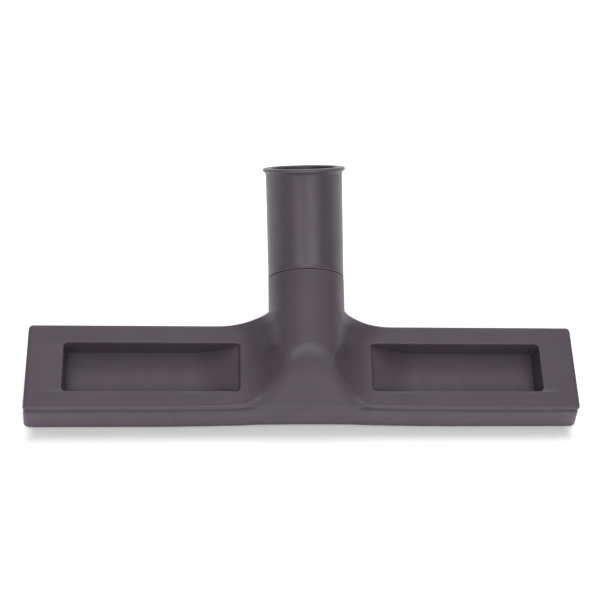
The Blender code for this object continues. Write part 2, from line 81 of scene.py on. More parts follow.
# Neck and hump
TUBE_RADIUS = 0.02075
NECK_RISE = math.radians(7.7)
NECK_START = 0.0250
NECK_START_HEIGHT = 0.0070
NECK_LENGTH = 0.0452
NECK_TUBE_OVERLAP = 0.0110
NECK_SKIN = 0.00005
DUCT_RADIUS = 0.0175
SPIGOT_BORE_RADIUS = 0.0160
DUCT_OVERLAP = 0.0050
CREST_FRONT = 0.0098
CREST_BACK = 0.0155
CREST_WIDENS_FROM = 0.0170
CREST_WIDENS_TO = 0.0310
FLANK_REACH = 0.0388
FLANK_REACH_BACK = 0.0490
FLANK_WIDENS_FROM = 0.0375
FLANK_POWER = 2.1
FLANK_POWER_BACK = 2.2
FLANK_BULGE = 0.0100
FLANK_BULGE_WIDTH = 0.0080
FACET_RISE = math.radians(54)
FACET_FRONT = 0.0008
FACET_BLEND = 0.0100
FACET_BLEND_LOW = 0.0062
BLEND_FULL_HEIGHT = 0.0250
HUMP_BACK_ROUND = 0.40
BACK_EDGE_RADIUS = 0.0015

# Spigot and sleeve
SPIGOT_RADIUS = 0.0180
SPIGOT_LENGTH = 0.0090
RUN_GAP = 0.0003
SEAM_CHAMFER = 0.0004
BEAD_HEIGHT = 0.0006
BEAD_WIDTH = 0.0010
BEAD_PLACE = 0.0043
COLLAR_LENGTH = 0.0066
SLEEVE_BEND = math.radians(25.7)
SLEEVE_TURN = math.radians(-5.8)
SOCKET_LENGTH = 0.0556
SOCKET_MOUTH_RADIUS = 0.0181
SOCKET_ROOT_RADIUS = 0.0176
MITRE_ROUND = 0.0014
RIM_RADIUS = 0.0225
RIM_HEIGHT = 0.0026
RIM_CHAMFER = 0.0006

# Blades
BLADE_THICKNESS = 0.0024
TRAY_TO_RIB_GAP = 0.0012
BLADE_END_GAP = 0.0004
BLADE_SLOT_GAP = 0.0003
BLADE_TIP = 0.0012
RIB_THICKNESS = 0.0015
RIB_FOOT = 0.0026
FRONT_BLADE_SETBACK = 0.0036
REAR_BLADE_SETBACK = 0.0036
NOTCH_PITCH = 0.0125
NOTCH_WIDTH = 0.0040
NOTCH_DEPTH = 0.0008

# How finely the visible pieces are drawn
TUBE_SIDES = 160
FLANK_COLUMNS = 28
ARM_COLUMNS = 14
TOP_ROWS = 56
BEAD_STEPS = 8
BACK_STEPS = 12
CORNER_STEPS = 8
RAMP_COLUMNS = 20
RAMP_SPACING = 0.015
RIM_STEPS = 6
RIM_START = 0.4
NECK_STEPS = 24
SEAM_STEPS = 3
MITRE_STEPS = 6
SHARP_ANGLE = 32
BLADE_SHARP_ANGLE = 30

# Plain colours and how rough each is, how strong its grain, its edge wear with painted highlight, and its
# painted shade in hollows
HEAD_GREY = (0.074, 0.0565, 0.074)
HEAD_FINISH = (0.44, 0.25, 0.5, 0.65)
SLEEVE_GREY = (0.073, 0.056, 0.073)
SLEEVE_FINISH = (0.38, 0.15, 0.5, 0.60)
RUBBER_BLACK = (0.018, 0.018, 0.019)
RUBBER_FINISH = (0.72, 0.25, 0.3, 0.60)

# Skin, blotches and smears of a moulding; a scale is in patches per metre
GRAIN_SCALE = 2600.0
GRAIN_HEIGHT = 0.00004
BLOTCH_SCALE = 38.0
BLOTCH_DARKEST = 0.32
BLOTCH_LIGHTEST = 0.68
BLOTCH_CHANGE = 0.06
SMEAR_SCALE = 55.0
SMEAR_CHANGE = 0.04

# Edges drawn lighter, partly wear and partly painted highlight; low walls drawn lighter as painted light;
# and painted shade in hollows, most of it in front. Each starts and is full at an openness, which is 1 on
# a flat face, looked for within its reach.
OCCLUSION_SAMPLES = 8
# Edges: partly wear, partly a painted highlight on rounded edges such as the lip.
WEAR_AND_HIGHLIGHT_REACH = 0.0020
WEAR_AND_HIGHLIGHT_STARTS = 0.92
WEAR_AND_HIGHLIGHT_FULL = 0.50
WEAR_AND_LIGHT_TONE = 1.7
# Painted light: low walls and the head's corners drawn lighter, in noise patches.
LOW_WALL_LIGHT_SCALE = 110.0
LOW_WALL_LIGHT_TOP = 0.0140
LOW_WALL_LIGHT_FULL = 0.0090
LOW_WALL_LIGHT_SIDE = 0.62
LOW_WALL_LIGHT_CORNER = 0.95
LOW_WALL_LIGHT_CORNER_START = 0.0130
LOW_WALL_LIGHT_CORNER_END = 0.0015
# Painted shade in hollows, weaker towards the back.
HOLLOW_SHADE_REACH = 0.0050
HOLLOW_SHADE_STARTS = 0.95
HOLLOW_SHADE_FULL = 0.55
HOLLOW_SHADE_TONE = 0.3
HOLLOW_SHADE_BACK_Y = -0.010
HOLLOW_SHADE_FRONT_Y = -0.022
HOLLOW_SHADE_BACK_SHARE = 0.3

# Floor, its painted shadow in front of the head, and the light
FLOOR_REACH = 3.0
FLOOR_DROP = 0.0001
FLOOR_WHITE = 0.90
FLOOR_GLOW = 0.44
# Band of painted shadow on the floor in front of the head
SHADOW_START = 0.003
SHADOW_END = 0.0165
SHADOW_SIDE_START = 0.006
SHADOW_SIDE_END = 0.004
BLADE_TO_BACK = 0.002
SKY_AT_HORIZON = 0.10
SKY_ABOVE = 0.56
LIGHT_DISTANCE = 1.6
LIGHT_TARGET = (0, 0, 0.04)

# Softboxes: azimuth and elevation in degrees, width and height in metres, and watts.
# Azimuth 0 is in front of the head and 90 to its right.
SOFTBOXES = {
    "key_right": (22, 36, 0.8, 0.6, 4.8),
    "fill_left": (-28, 36, 0.7, 0.6, 3.9),
    "front_top": (-4, 56, 0.7, 0.6, 4.0),
    "back_top": (172, 58, 0.9, 0.8, 6.2),
    "back_left": (-120, 55, 0.75, 0.65, 0.6),
    "back_right": (140, 40, 0.75, 0.65, 2.8),
}

# Camera, set to the photo's view
CAMERA_PLACE = (-0.06137, -0.38914, 0.52809)
CAMERA_TURN = (39.699, -4.352, -3.012)
CAMERA_LENS = 69.0

TRAY_OUTER = HEAD_WIDTH / 2 - TRAY_END_MARGIN
TRAY_BACK = TOP_DEPTH - TRAY_BACK_MARGIN
BACK_FOOT_FROM_LIP = TOP_DEPTH * math.cos(TOP_SLOPE) + math.tan(BACK_LEAN) * (
    LIP_HEIGHT + TOP_DEPTH * math.sin(TOP_SLOPE) - SKIRT_FOOT
)
LIP_Y = -(BACK_FOOT_FROM_LIP - REAR_BLADE_SETBACK - BLADE_THICKNESS / 2)
FRONT_BLADE_Y = LIP_Y + LIP_OVERHANG + FRONT_BLADE_SETBACK + BLADE_THICKNESS / 2
TRAY_UNDERSIDE = (
    LIP_HEIGHT
    + (TRAY_BACK + WALL) * math.sin(TOP_SLOPE)
    - (TRAY_DEPTH + WALL) * math.cos(TOP_SLOPE)
)
BLADE_HEIGHT = TRAY_UNDERSIDE - TRAY_TO_RIB_GAP - RIB_THICKNESS - BLADE_SLOT_GAP


def smooth_step(value, low, high):
    t = min(1.0, max(0.0, (value - low) / (high - low)))
    return t * t * (3 - 2 * t)


def smooth_min(a, b, blend):
    if blend <= 0:
        return min(a, b)
    near = max(blend - abs(a - b), 0.0) / blend
    return min(a, b) - near * near * blend / 4


def from_slope(x, s, h):
    """World place of a point in slope coordinates."""
    y = LIP_Y + s * math.cos(TOP_SLOPE) - h * math.sin(TOP_SLOPE)
    z = LIP_HEIGHT + s * math.sin(TOP_SLOPE) + h * math.cos(TOP_SLOPE)
    return Vector((x, y, z))


def solid(name, points, faces):
    mesh = bpy.data.meshes.new(name)
    mesh.from_pydata([tuple(p) for p in points], [], faces)
    work = bmesh.new()
    work.from_mesh(mesh)
    bmesh.ops.recalc_face_normals(work, faces=work.faces)
    work.to_mesh(mesh)
    work.free()
    obj = bpy.data.objects.new(name, mesh)
    bpy.context.scene.collection.objects.link(obj)
    return obj


def loft(name, rings):
    """Closed solid through rings of equal length, with a flat cap at each end."""
    count = len(rings[0])
    points = [p for ring in rings for p in ring]
    faces = []
    for k in range(len(rings) - 1):
        for i in range(count):
            j = (i + 1) % count
            faces.append((k * count + i, k * count + j, (k + 1) * count + j, (k + 1) * count + i))
    faces.append(tuple(reversed(range(count))))
    last = (len(rings) - 1) * count
    faces.append(tuple(range(last, last + count)))
    return solid(name, points, faces)


def turned(name, profile, origin, axis, up, twist=0.0):
    """Solid of revolution: profile is (distance along the axis, radius). The twist is in sides."""
    axis = axis.normalized()
    side = axis.cross(up).normalized()
    up = side.cross(axis).normalized()
    rings = []
    for along, radius in profile:
        ring = []
        for k in range(TUBE_SIDES):
            turn = 2 * math.pi * (k + twist) / TUBE_SIDES
            offset = up * math.cos(turn) + side * math.sin(turn)
            ring.append(origin + axis * along + offset * radius)
        rings.append(ring)
    return loft(name, rings)


def combine(target, other, operation):
    modifier = target.modifiers.new(other.name, "BOOLEAN")
    modifier.operation = operation
    modifier.solver = "EXACT"
    modifier.object = other
    other.hide_render = True


def settle(obj, degrees):
    """Applies the Booleans, removes the cutters, and sets smooth shading with sharp edges."""
    bpy.context.view_layer.update()
    graph = bpy.context.evaluated_depsgraph_get()
    mesh = bpy.data.meshes.new_from_object(obj.evaluated_get(graph))
    cutters = [m.object for m in obj.modifiers if m.type == "BOOLEAN"]
    cutters += [m.object for c in cutters for m in c.modifiers if m.type == "BOOLEAN"]
    obj.modifiers.clear()
    old = obj.data
    obj.data = mesh
    mesh.name = obj.name
    bpy.data.meshes.remove(old)
    for c in cutters:
        bpy.data.objects.remove(c, do_unlink=True)
    mesh.shade_smooth()
    mesh.set_sharp_from_angle(angle=math.radians(degrees))
    return obj


def round_off(obj, start, axis, radius):
    """Gives a tube's faces the exact normals of a cylinder, so that its joins leave no marks."""
    mesh = obj.data
    tolerance = 2 * NECK_SKIN
    from_axis = [(v.co - start) - axis * (v.co - start).dot(axis) for v in mesh.vertices]
    on_tube = [abs(offset.length - radius) < tolerance for offset in from_axis]
    normals = [(0.0, 0.0, 0.0)] * len(mesh.loops)
    for face in mesh.polygons:
        if not all(on_tube[v] for v in face.vertices):
            continue
        if face.normal.dot(from_axis[face.vertices[0]].normalized()) < 0.9:
            continue
        for loop, v in zip(face.loop_indices, face.vertices):
            normals[loop] = from_axis[v].normalized()
    mesh.normals_split_custom_set(normals)
    return obj


def neck_axis_height(s):
    return NECK_START_HEIGHT + (s - NECK_START) * math.tan(NECK_RISE)


def crown_height(x, s):
    """Top of the hump without the facet: the neck's round crown, then the flank."""
    axis = neck_axis_height(s)
    radius = TUBE_RADIUS + NECK_SKIN
    side = abs(x)
    backward = smooth_step(s, CREST_WIDENS_FROM, CREST_WIDENS_TO)
    crest = CREST_FRONT + (CREST_BACK - CREST_FRONT) * backward
    if side <= crest:
        return axis + math.sqrt(radius**2 - side**2) / math.cos(NECK_RISE)
    shoulder = axis + math.sqrt(radius**2 - crest**2) / math.cos(NECK_RISE)
    widening = smooth_step(s, FLANK_WIDENS_FROM, TOP_DEPTH)
    reach = FLANK_REACH + (FLANK_REACH_BACK - FLANK_REACH) * widening
    power = FLANK_POWER + (FLANK_POWER_BACK - FLANK_POWER) * backward
    left = max(0.0, (reach - side) / (reach - crest))
    out = min(1.0, (side - crest) / FLANK_BULGE_WIDTH)
    return shoulder * left**power + FLANK_BULGE * backward * out * (1 - out) ** 2


def bow(x):
    """How far the front edge is set back, most in the middle."""
    if abs(x) >= BOW_HALF_WIDTH:
        return 0.0
    return FRONT_BOW * math.cos(math.pi * x / (2 * BOW_HALF_WIDTH)) ** 2


def top_height(x, s):
    """Height of the head's top over its slope."""
    crown = crown_height(x, s)
    facet = max(0.0, (s - FACET_FRONT) * math.tan(FACET_RISE))
    rounding = FACET_BLEND_LOW + (FACET_BLEND - FACET_BLEND_LOW) * min(1.0, crown / BLEND_FULL_HEIGHT)
    return max(0.0, smooth_min(crown, facet, min(rounding, 1.6 * crown)))


def front_profile(x):
    """Skirt, groove, lip and rounded edge, from the foot up, and where the top starts."""
    share = smooth_step(abs(x), LIP_FADE_START, LIP_FADE_END)
    back = bow(x)
    edge = from_slope(x, back, top_height(x, back))
    near = EDGE_RADIUS / 4
    rise = math.atan((top_height(x, back + near) - top_height(x, back)) / near)
    bend = math.pi / 2 - TOP_SLOPE - rise
    radius = EDGE_RADIUS * share + SEAM_CHAMFER * (1 - share)
    tangent = radius * math.tan(bend / 2)
    face_top = edge.z - tangent
    face_foot = face_top - LIP_FACE
    skirt_top = (LIP_HEIGHT - SKIRT_TOP_DROP) * share + (face_foot - LIP_FACE) * (1 - share)
    skirt_y = edge.y + SKIRT_TOP_SETBACK * share
    deep_y = edge.y + GROOVE_DEPTH * share
    gap = face_foot - skirt_top
    spread = SKIRT_SPREAD * share + SKIRT_SPREAD_MIDDLE * (1 - share)
    points = [
        (skirt_y - spread, SKIRT_FOOT),
        (skirt_y - spread / 2, (SKIRT_FOOT + skirt_top) / 2),
        (skirt_y, skirt_top - SEAM_CHAMFER),
        (skirt_y + (deep_y - skirt_y) * 0.45, skirt_top + gap * 0.06),
        (deep_y, skirt_top + gap * 0.30),
        (deep_y, skirt_top + gap * 0.72),
        (edge.y + (deep_y - edge.y) * 0.55, skirt_top + gap * 0.95),
        (edge.y, face_foot + LIP_FACE * 0.2),
    ]
    for k in range(BEAD_STEPS + 1):
        turn = bend * k / BEAD_STEPS
        points.append((edge.y + radius - radius * math.cos(turn), face_top + radius * math.sin(turn)))
    return points, back + tangent * math.cos(rise)


def head_columns():
    """Places along the head where a section is drawn, from the middle outwards."""
    step = 2 * math.pi / TUBE_SIDES
    crown = []
    k = 0
    while TUBE_RADIUS * math.sin(k * step) < CREST_BACK - 0.0002:
        crown.append(TUBE_RADIUS * math.sin(k * step))
        k += 1
    flank = [
        CREST_BACK + (FLANK_REACH_BACK - CREST_BACK) * k / FLANK_COLUMNS
        for k in range(FLANK_COLUMNS + 1)
    ]
    outer = [
        FLANK_REACH_BACK + (BOW_HALF_WIDTH - FLANK_REACH_BACK) * k / ARM_COLUMNS
        for k in range(1, ARM_COLUMNS + 1)
    ]
    return crown + flank + outer + [HEAD_WIDTH / 2 - CORNER_RADIUS]


def back_end(x, height):
    """Where the slope coordinate s meets the leaning back wall, over the top at x."""
    s = TOP_DEPTH
    for _ in range(6):
        s = TOP_DEPTH + height(x, s) * math.tan(TOP_SLOPE - BACK_LEAN)
    return s


def head_ring(x):
    """One closed section of the head's outside, from the front foot to the back foot."""
    front, start = front_profile(x)
    ring = [Vector((x, y, z)) for y, z in front]
    end = back_end(x, top_height)
    height = top_height(x, end)
    radius = BACK_EDGE_RADIUS + HUMP_BACK_ROUND * height
    last = end - radius
    for k in range(1, TOP_ROWS):
        s = start + (last - start) * k / TOP_ROWS
        ring.append(from_slope(x, s, top_height(x, s)))
    corner = from_slope(x, end, height)
    before = from_slope(x, last, top_height(x, last))
    down = Vector((0, math.sin(BACK_LEAN), -math.cos(BACK_LEAN)))
    after = corner + down * radius
    for k in range(BACK_STEPS + 1):
        t = k / BACK_STEPS
        ring.append(before * (1 - t) ** 2 + corner * 2 * t * (1 - t) + after * t * t)
    foot = corner + down * ((corner.z - SKIRT_FOOT) / math.cos(BACK_LEAN))
    ring.append((after + foot) / 2)
    ring.append(foot)
    return ring


def end_rings(ring, sign):
    """Rounds the head's end: the last section shrinks along an arc, and the end wall leans out."""
    middle_y = (ring[0].y + ring[-1].y) / 2
    half = (ring[-1].y - ring[0].y) / 2
    back_top = LIP_HEIGHT + TOP_DEPTH * math.sin(TOP_SLOPE)
    rings = []
    for k in range(1, CORNER_STEPS + 1):
        turn = math.pi / 2 * k / CORNER_STEPS
        out = CORNER_RADIUS * math.sin(turn)
        inset = CORNER_RADIUS * (1 - math.cos(turn))
        drop = EDGE_RADIUS * (1 - math.cos(turn))
        shrunk = []
        for p in ring:
            y = middle_y + (p.y - middle_y) * (1 - inset / half)
            top = smooth_step(p.z, SKIRT_FOOT, LIP_HEIGHT)
            flare = (back_top - p.z) * math.tan(END_FLARE) * k / CORNER_STEPS
            shrunk.append(Vector((sign * (abs(p.x) + out + flare), y, p.z - drop * top)))
        rings.append(shrunk)
    return rings


def head_body():
    right = [head_ring(x) for x in head_columns()]
    left = [[Vector((-p.x, p.y, p.z)) for p in ring] for ring in right[1:]]
    right += end_rings(right[-1], 1)
    left += end_rings(left[-1], -1)
    return loft("head_shell", list(reversed(left)) + right)


def ceiling_height(x, s):
    """A wall's thickness below the top, measured square to the surface."""
    reach = WALL / 2
    across = (top_height(x + reach, s) - top_height(x - reach, s)) / WALL
    along = (top_height(x, s + reach) - top_height(x, s - reach)) / WALL
    return top_height(x, s) - WALL * math.sqrt(1 + across**2 + along**2)


def chamber():
    """Space inside the head, open below."""
    inner_end = HEAD_WIDTH / 2 - WALL
    columns = [x for x in head_columns()[::2] if x < inner_end - WALL] + [inner_end]
    rings = []
    for x in [-x for x in reversed(columns[1:])] + columns:
        front_y = LIP_Y + LIP_OVERHANG + WALL
        start = (front_y - LIP_Y) / math.cos(TOP_SLOPE)
        end = back_end(x, ceiling_height) - WALL / math.cos(BACK_LEAN)
        ring = [Vector((x, front_y, -SKIRT_FOOT))]
        rows = TOP_ROWS // 2
        for k in range(rows + 1):
            s = start + (end - start) * k / rows
            ring.append(from_slope(x, s, ceiling_height(x, s)))
        top = ring[-1]
        ring.append(Vector((x, top.y + (top.z + SKIRT_FOOT) * math.tan(BACK_LEAN), -SKIRT_FOOT)))
        rings.append(ring)
    return loft("chamber_cutter", rings)


def tray_outline(grow, ramp_columns):
    """Rounded rectangle of a tray: matching front and back places for each x, from inner to outer."""
    radius = max(TRAY_CORNER + grow, 0.0002)
    inner = TRAY_INNER - grow
    outer = TRAY_OUTER + grow
    front = TRAY_FRONT - grow
    back = TRAY_BACK + grow
    arc = [math.pi / 2 * k / CORNER_STEPS for k in range(CORNER_STEPS + 1)]
    places = [(inner + radius * (1 - math.sin(t)), radius * (1 - math.cos(t))) for t in reversed(arc)]
    places += [(inner + radius + (outer - inner - 2 * radius) * share, 0.0) for share in ramp_columns]
    places += [(outer - radius * (1 - math.sin(t)), radius * (1 - math.cos(t))) for t in arc]
    return [(x, front + inset, back - inset) for x, inset in places]


def tray_depth(x):
    """Depth of a tray's floor, which ramps up towards the hump."""
    share = min(1.0, max(0.0, (x - TRAY_INNER) / TRAY_RAMP))
    return TRAY_SHALLOW + (TRAY_DEPTH - TRAY_SHALLOW) * (1 - (1 - share) ** 1.5)


def tray(name, sign, grow, depth_extra, levels):
    """Solid of one tray, or of its shell when it is grown by the wall."""
    ramp = [RAMP_SPACING * k for k in range(1, RAMP_COLUMNS + 1)] + [0.65]
    outlines = [tray_outline(grow + extra, ramp) for extra, _ in levels]
    floor = tray_outline(grow - math.tan(TRAY_DRAFT) * TRAY_DEPTH, ramp)
    count = len(floor)
    points = []
    for (_, h), outline in zip(levels, outlines):
        points += [from_slope(sign * x, front, h) for x, front, _ in outline]
        points += [from_slope(sign * x, back, h) for x, _, back in reversed(outline)]
    points += [from_slope(sign * x, front, -tray_depth(x) - depth_extra) for x, front, _ in floor]
    points += [from_slope(sign * x, back, -tray_depth(x) - depth_extra) for x, _, back in reversed(floor)]
    loop = 2 * count
    faces = []
    for level in range(len(levels)):
        for i in range(loop):
            j = (i + 1) % loop
            a = level * loop
            faces.append((a + i, a + j, a + loop + j, a + loop + i))
    base = len(levels) * loop
    for start in (0, base):
        for i in range(count - 1):
            faces.append((start + i, start + i + 1, start + loop - 2 - i, start + loop - 1 - i))
    return solid(name, points, faces)


def box(name, low, high):
    points = []
    for z in (low[2], high[2]):
        for x, y in ((low[0], low[1]), (high[0], low[1]), (high[0], high[1]), (low[0], high[1])):
            points.append(Vector((x, y, z)))
    faces = [(0, 1, 2, 3), (4, 5, 6, 7), (0, 1, 5, 4), (1, 2, 6, 5), (2, 3, 7, 6), (3, 0, 4, 7)]
    return solid(name, points, faces)


def blade_half_length():
    return HEAD_WIDTH / 2 - WALL - RIB_THICKNESS - BLADE_END_GAP


def blade_holder(name, centre_y):
    """Block of rib either side of a blade, which stays standing in the chamber."""
    half = BLADE_THICKNESS / 2 + BLADE_SLOT_GAP + RIB_THICKNESS
    reach = HEAD_WIDTH / 2 + CORNER_RADIUS
    top = BLADE_HEIGHT + BLADE_SLOT_GAP + RIB_THICKNESS
    return box(name, (-reach, centre_y - half, RIB_FOOT), (reach, centre_y + half, top))


def blade_slot(name, centre_y):
    half = BLADE_THICKNESS / 2 + BLADE_SLOT_GAP
    reach = blade_half_length() + BLADE_END_GAP
    top = BLADE_HEIGHT + BLADE_SLOT_GAP
    return box(name, (-reach, centre_y - half, -SKIRT_FOOT), (reach, centre_y + half, top))


def neck_frame():
    """Start, direction and upward side of the neck's axis."""
    start = from_slope(0, NECK_START, NECK_START_HEIGHT)
    rise = TOP_SLOPE + NECK_RISE
    axis = Vector((0, math.cos(rise), math.sin(rise)))
    up = Vector((0, -math.sin(rise), math.cos(rise)))
    return start, axis, up


def neck_outside():
    start, axis, up = neck_frame()
    seam = NECK_LENGTH
    low = seam + BEAD_PLACE - BEAD_WIDTH / 2 - RUN_GAP
    high = seam + BEAD_PLACE + BEAD_WIDTH / 2 + RUN_GAP
    straight = seam - SEAM_CHAMFER - NECK_TUBE_OVERLAP
    profile = []
    for k in range(NECK_STEPS + 1):
        profile.append((NECK_TUBE_OVERLAP + straight * k / NECK_STEPS, TUBE_RADIUS))
    for k in range(1, SEAM_STEPS + 1):
        turn = math.pi / 2 * k / SEAM_STEPS
        profile.append(
            (
                seam - SEAM_CHAMFER * (1 - math.sin(turn)),
                TUBE_RADIUS - SEAM_CHAMFER * (1 - math.cos(turn)),
            )
        )
    profile += [
        (seam, SPIGOT_RADIUS),
        (low - BEAD_HEIGHT, SPIGOT_RADIUS),
        (low, SPIGOT_RADIUS - BEAD_HEIGHT),
        (high, SPIGOT_RADIUS - BEAD_HEIGHT),
        (high + BEAD_HEIGHT, SPIGOT_RADIUS),
        (seam + SPIGOT_LENGTH - SEAM_CHAMFER, SPIGOT_RADIUS),
        (seam + SPIGOT_LENGTH, SPIGOT_RADIUS - SEAM_CHAMFER),
    ]
    return turned("neck_outside", profile, start, axis, up, 0.5)


def duct():
    start, axis, up = neck_frame()
    end = NECK_LENGTH + SPIGOT_LENGTH + DUCT_OVERLAP
    narrow = NECK_LENGTH - 2 * WALL
    profile = [
        (DUCT_OVERLAP, DUCT_RADIUS),
        (narrow, DUCT_RADIUS),
        (narrow + DUCT_RADIUS - SPIGOT_BORE_RADIUS, SPIGOT_BORE_RADIUS),
        (end, SPIGOT_BORE_RADIUS),
    ]
    return turned("duct_cutter", profile, start, axis, up)


def build_head():
    head = head_body()
    combine(head, neck_outside(), "UNION")
    inside = chamber()
    for side, sign in (("right", 1), ("left", -1)):
        shell = tray("tray_shell_" + side, sign, WALL, WALL, [(0.0, 2 * TRAY_DEPTH)])
        combine(inside, shell, "DIFFERENCE")
    combine(inside, blade_holder("front_ribs", FRONT_BLADE_Y), "DIFFERENCE")
    combine(inside, blade_holder("rear_ribs", 0.0), "DIFFERENCE")
    combine(head, inside, "DIFFERENCE")
    combine(head, duct(), "DIFFERENCE")
    rim = TRAY_RIM
    levels = [(2.4 * rim, 0.8 * rim)]
    for k in range(RIM_STEPS):
        turn = math.pi / 2 * (k + RIM_START) / (RIM_STEPS - 1 + RIM_START)
        levels.append((rim * (1 - math.sin(turn)), -rim * (1 - math.cos(turn))))
    for side, sign in (("right", 1), ("left", -1)):
        combine(head, tray("tray_cutter_" + side, sign, 0.0, 0.0, levels), "DIFFERENCE")
    combine(head, blade_slot("front_slot", FRONT_BLADE_Y), "DIFFERENCE")
    combine(head, blade_slot("rear_slot", 0.0), "DIFFERENCE")
    start, axis, up = neck_frame()
    return round_off(settle(head, SHARP_ANGLE), start, axis, TUBE_RADIUS)


def build_sleeve():
    """Collar, mitred bend and socket, as rings round the bent axis, bored out for the wand."""
    start, axis, up = neck_frame()
    seam = start + axis * NECK_LENGTH
    inner = Matrix.Rotation(SLEEVE_TURN, 3, axis) @ up
    bend = seam + axis * COLLAR_LENGTH
    socket = axis * math.cos(SLEEVE_BEND) + inner * math.sin(SLEEVE_BEND)
    side = axis.cross(inner).normalized()
    inner_after = side.cross(socket).normalized()
    half = math.tan(SLEEVE_BEND / 2)
    turns = [2 * math.pi * k / TUBE_SIDES for k in range(TUBE_SIDES)]

    def collar_point(turn, along, radius):
        return bend + axis * along + (inner * math.cos(turn) + side * math.sin(turn)) * radius

    def socket_point(turn, along, radius):
        return bend + socket * along + (inner_after * math.cos(turn) + side * math.sin(turn)) * radius

    rings = []
    for k in range(SEAM_STEPS + 1):
        turn = math.pi / 2 * k / SEAM_STEPS
        along = RUN_GAP - COLLAR_LENGTH + SEAM_CHAMFER * (1 - math.cos(turn)) / 2
        radius = TUBE_RADIUS - SEAM_CHAMFER * (1 - math.sin(turn)) / 2
        rings.append([collar_point(t, along, radius) for t in turns])
    for step in range(MITRE_STEPS + 1):
        share = step / MITRE_STEPS
        ring = []
        for t in turns:
            mitre = -TUBE_RADIUS * math.cos(t) * half
            before = collar_point(t, mitre - MITRE_ROUND, TUBE_RADIUS)
            corner = collar_point(t, mitre, TUBE_RADIUS)
            after = socket_point(t, -mitre + MITRE_ROUND, TUBE_RADIUS)
            ring.append(before * (1 - share) ** 2 + corner * 2 * share * (1 - share) + after * share**2)
        rings.append(ring)
    top = SOCKET_LENGTH
    swell = RIM_RADIUS - TUBE_RADIUS
    rim = [
        (top - RIM_HEIGHT - swell * 0.8, TUBE_RADIUS),
        (top - RIM_HEIGHT - swell * 0.15, TUBE_RADIUS + swell * 0.12),
        (top - RIM_HEIGHT * 0.86, TUBE_RADIUS + swell * 0.45),
        (top - RIM_HEIGHT * 0.62, TUBE_RADIUS + swell * 0.92),
        (top - RIM_HEIGHT * 0.42, RIM_RADIUS),
        (top - RIM_HEIGHT * 0.18, TUBE_RADIUS + swell * 0.90),
        (top, TUBE_RADIUS + swell * 0.50),
    ]
    for along, radius in rim:
        rings.append([socket_point(t, along, radius) for t in turns])
    sleeve = loft("sleeve_shell", rings)
    bore = SPIGOT_RADIUS + RUN_GAP
    low = BEAD_PLACE - BEAD_WIDTH / 2
    high = BEAD_PLACE + BEAD_WIDTH / 2
    collar_depth = COLLAR_LENGTH + TUBE_RADIUS * half - RUN_GAP
    profile = [
        (-RUN_GAP, bore + SEAM_CHAMFER),
        (RUN_GAP + SEAM_CHAMFER, bore),
        (low - BEAD_HEIGHT, bore),
        (low, bore - BEAD_HEIGHT),
        (high, bore - BEAD_HEIGHT),
        (high + BEAD_HEIGHT, bore),
        (collar_depth, bore),
    ]
    combine(sleeve, turned("collar_cutter", profile, seam, axis, inner), "DIFFERENCE")
    profile = [
        (-TUBE_RADIUS * half, SOCKET_ROOT_RADIUS),
        (0.0, SOCKET_ROOT_RADIUS),
        (SOCKET_LENGTH - RIM_CHAMFER, SOCKET_MOUTH_RADIUS),
        (SOCKET_LENGTH + RIM_CHAMFER, SOCKET_MOUTH_RADIUS + 2 * RIM_CHAMFER),
    ]
    combine(sleeve, turned("socket_cutter", profile, bend, socket, inner_after), "DIFFERENCE")
    return settle(sleeve, SHARP_ANGLE)


def build_blade(name, centre_y, notched):
    """Rubber strip, thinned towards the floor on its outer face; the front one lets water in."""
    half = blade_half_length()
    back = BLADE_THICKNESS / 2
    outwards = -1 if notched else 1
    profile = [
        (outwards * back, BLADE_TIP + BLADE_THICKNESS / 2),
        (outwards * back * 0.3, 0.0),
        (-outwards * back, 0.0),
        (-outwards * back, BLADE_HEIGHT),
        (outwards * back, BLADE_HEIGHT),
    ]
    places = [-half, half]
    if notched:
        count = int((2 * half - NOTCH_WIDTH) / NOTCH_PITCH)
        for c in [(k - (count - 1) / 2) * NOTCH_PITCH for k in range(count)]:
            places += [c - NOTCH_WIDTH / 2, c - NOTCH_WIDTH / 4, c + NOTCH_WIDTH / 4, c + NOTCH_WIDTH / 2]
        places.sort()
    rings = []
    for index, x in enumerate(places):
        raised = notched and index % 4 in (2, 3) and 0 < index < len(places) - 1
        lift = NOTCH_DEPTH if raised else 0.0
        rings.append([Vector((x, centre_y + y, z + (lift if z == 0.0 else 0.0))) for y, z in profile])
    return settle(loft(name, rings), BLADE_SHARP_ANGLE)


# Materials


def node(tree, kind, **inputs):
    """New node with its inputs set; an underscore in a name stands for a space."""
    made = tree.nodes.new(kind)
    for key, value in inputs.items():
        made.inputs[key.replace("_", " ")].default_value = value
    return made


def spread(tree, value, start, end, low=0.0, high=1.0, kind="LINEAR"):
    """Carries a value between start and end over to low and high, and holds it past them."""
    made = node(tree, "ShaderNodeMapRange", From_Min=start, From_Max=end, To_Min=low, To_Max=high)
    made.interpolation_type = kind
    tree.links.new(value, made.inputs["Value"])
    return made.outputs["Result"]


def maths(tree, operation, first, second=None):
    """One sum on a socket, with another socket or a number where the sum needs two."""
    made = tree.nodes.new("ShaderNodeMath")
    made.operation = operation
    tree.links.new(first, made.inputs[0])
    if isinstance(second, float):
        made.inputs[1].default_value = second
    elif second:
        tree.links.new(second, made.inputs[1])
    return made.outputs[0]


def axes(tree, place):
    """The X, Y and Z of a place, as three sockets."""
    made = tree.nodes.new("ShaderNodeSeparateXYZ")
    tree.links.new(place, made.inputs[0])
    return made.outputs


def noise(tree, place, scale, detail, roughness):
    made = node(tree, "ShaderNodeTexNoise", Scale=scale, Detail=detail, Roughness=roughness)
    tree.links.new(place, made.inputs["Vector"])
    return made.outputs["Fac"]


